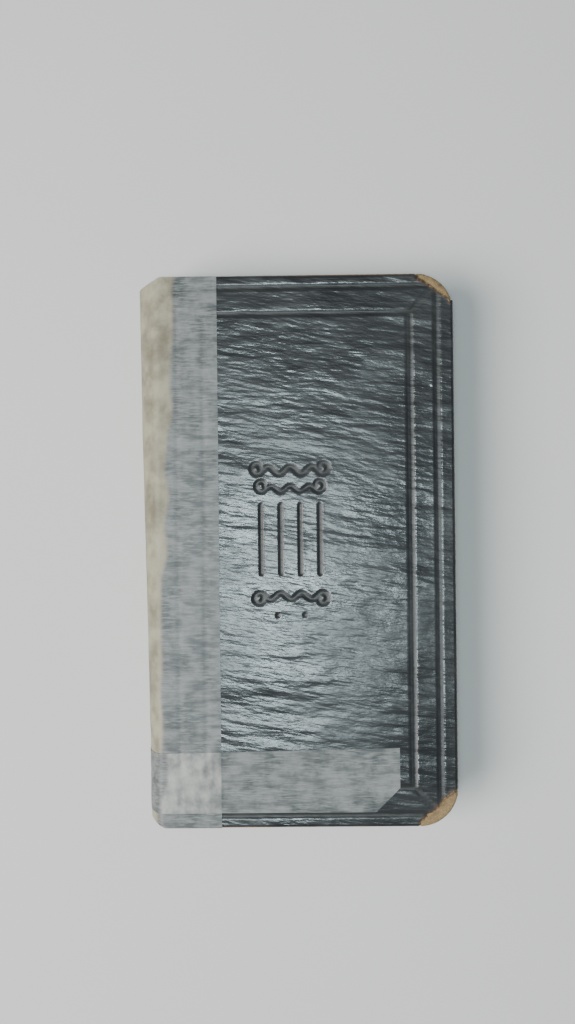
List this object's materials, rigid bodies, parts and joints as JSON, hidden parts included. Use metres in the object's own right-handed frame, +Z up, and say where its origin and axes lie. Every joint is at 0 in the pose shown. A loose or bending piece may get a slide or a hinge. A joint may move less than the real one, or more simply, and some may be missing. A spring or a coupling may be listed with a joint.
{
  "type": "prayer book",
  "caption": "Small leather-bound prayer book lying closed on its back cover, with a blind-tooled front, worn corners and two strips of repair tape over the spine and tail.",
  "frame": {"origin": "middle of the book's footprint, on the surface that its back cover lies on", "axes": "+X from the spine to the fore-edge, +Y to the head of the book, +Z up through the front cover"},
  "size_m": [0.0776, 0.138, 0.0153],
  "materials": {
    "leather": "polished black grained leather, worn",
    "board": "tan pulp board",
    "endpaper": "aged plain endpaper",
    "page_paper": "thin yellowed paper",
    "lining_paper": "brown kraft paper",
    "mull_cloth": "open-weave starched cotton",
    "linen_tape": "woven linen tape",
    "thread": "waxed linen thread",
    "endband": "two-colour silk endband",
    "adhesive_tape": "matt translucent adhesive tape, aged"
  },
  "bodies": {
    "back_cover": {"back_board": "board", "back_leather": "leather", "back_pastedown": "endpaper", "spine_tape_back_flap": "adhesive_tape", "tail_tape_back_flap": "adhesive_tape"},
    "text_block": {"spine_leather": "leather", "spine_tape_wrap": "adhesive_tape", "tail_tape_wrap": "adhesive_tape", "spine_lining": "lining_paper", "spine_mull": "mull_cloth", "sewing_tape_1": "linen_tape", "sewing_tape_2": "linen_tape", "sewing_tape_3": "linen_tape", "sewing_thread": "thread", "head_endband": "endband", "tail_endband": "endband", "section_05": "page_paper", "section_06": "page_paper", "section_07": "page_paper", "section_08": "page_paper", "section_09": "page_paper", "section_10": "page_paper", "section_11": "page_paper", "section_12": "page_paper"},
    "front_cover": {"front_board": "board", "front_leather": "leather", "front_pastedown": "endpaper", "spine_tape_front_flap": "adhesive_tape", "tail_tape_front_flap": "adhesive_tape"},
    "front_flyleaf_leaf": {"front_flyleaf": "endpaper"},
    "back_flyleaf_leaf": {"back_flyleaf": "endpaper"},
    "section_01_leaves": {"section_01": "page_paper"},
    "section_02_leaves": {"section_02": "page_paper"},
    "section_03_leaves": {"section_03": "page_paper"},
    "section_04_leaves": {"section_04": "page_paper"}
  },
  "joints": [
    {"name": "back_cover_hinge", "type": "hinge", "parent": "back_cover", "child": "text_block", "pos_m": [-0.03575, 0, 0], "axis": [0, -1, 0], "range_deg": [0, 45]},
    {"name": "front_cover_hinge", "type": "hinge", "parent": "text_block", "child": "front_cover", "pos_m": [-0.03575, 0, 0.0153], "axis": [0, -1, 0], "range_deg": [0, 140]},
    {"name": "back_flyleaf_turn", "type": "hinge", "parent": "back_cover", "child": "back_flyleaf_leaf", "pos_m": [-0.03575, 0, 0], "axis": [0, -1, 0], "range_deg": [0, 14.5]},
    {"name": "front_flyleaf_turn", "type": "hinge", "parent": "text_block", "child": "front_flyleaf_leaf", "pos_m": [-0.03575, 0, 0.0153], "axis": [0, -1, 0], "range_deg": [0, 129.8]},
    {"name": "section_01_turn", "type": "hinge", "parent": "text_block", "child": "section_01_leaves", "pos_m": [-0.03575, 0, 0.0153], "axis": [0, -1, 0], "range_deg": [0, 113]},
    {"name": "section_02_turn", "type": "hinge", "parent": "text_block", "child": "section_02_leaves", "pos_m": [-0.03575, 0, 0.0153], "axis": [0, -1, 0], "range_deg": [0, 87.8]},
    {"name": "section_03_turn", "type": "hinge", "parent": "text_block", "child": "section_03_leaves", "pos_m": [-0.03575, 0, 0.0153], "axis": [0, -1, 0], "range_deg": [0, 59.8]},
    {"name": "section_04_turn", "type": "hinge", "parent": "text_block", "child": "section_04_leaves", "pos_m": [-0.03575, 0, 0.0153], "axis": [0, -1, 0], "range_deg": [0, 29]}
  ],
  "couplings": [
    {"joint": "back_flyleaf_turn", "follows": "back_cover_hinge", "ratio": 0.3},
    {"joint": "front_flyleaf_turn", "follows": "front_cover_hinge", "ratio": 0.92},
    {"joint": "section_01_turn", "follows": "front_cover_hinge", "ratio": 0.8},
    {"joint": "section_02_turn", "follows": "front_cover_hinge", "ratio": 0.62},
    {"joint": "section_03_turn", "follows": "front_cover_hinge", "ratio": 0.42},
    {"joint": "section_04_turn", "follows": "front_cover_hinge", "ratio": 0.2}
  ]
}
